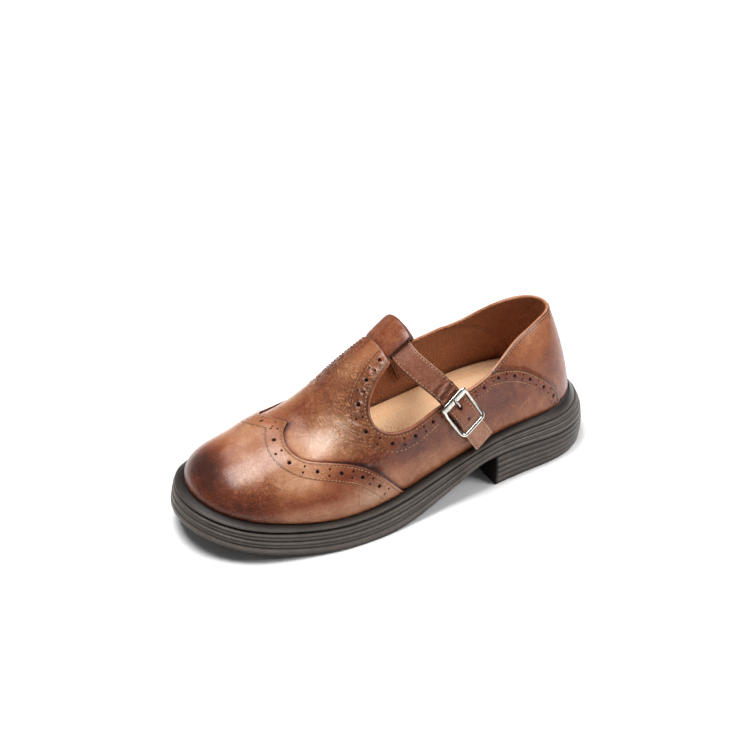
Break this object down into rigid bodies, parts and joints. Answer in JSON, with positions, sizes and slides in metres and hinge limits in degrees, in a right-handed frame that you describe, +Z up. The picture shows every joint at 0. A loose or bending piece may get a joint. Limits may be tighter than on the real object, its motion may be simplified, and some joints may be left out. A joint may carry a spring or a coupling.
{
  "type": "left shoe",
  "caption": "Left T-bar leather shoe with a perforated wing cap, a buckled strap over the instep, open sides and a chunky ribbed rubber sole.",
  "frame": {"origin": "middle of the bounding box's bottom, on the ground plane under the shoe", "axes": "+X towards the toe, +Y to the wearer's left, which is this left shoe's outer side, +Z up"},
  "size_m": [0.2638, 0.104, 0.1025],
  "materials": {
    "outsole": "satin dark brown-grey rubber, stacked layers with lighter rubbed edges",
    "heel": "satin dark brown-grey rubber, ribbed",
    "upper": "smooth brown leather, burnished darker round the openings",
    "toe_cap": "smooth brown leather, burnished darker round the toe",
    "insole": "light tan sock leather",
    "strap": "brown leather with a light cut edge",
    "strap_loop": "smooth tan-brown leather, darker at its edges",
    "buckle_frame": "polished nickel-plated steel",
    "buckle_prong": "polished nickel-plated steel",
    "buckle_anchor": "brown leather"
  },
  "bodies": {
    "root": {"outsole": "outsole", "heel": "heel", "upper": "upper", "toe_cap": "toe_cap", "insole": "insole", "strap": "strap", "strap_loop": "strap_loop", "buckle_frame": "buckle_frame", "buckle_prong": "buckle_prong", "buckle_anchor": "buckle_anchor"}
  },
  "joints": []
}
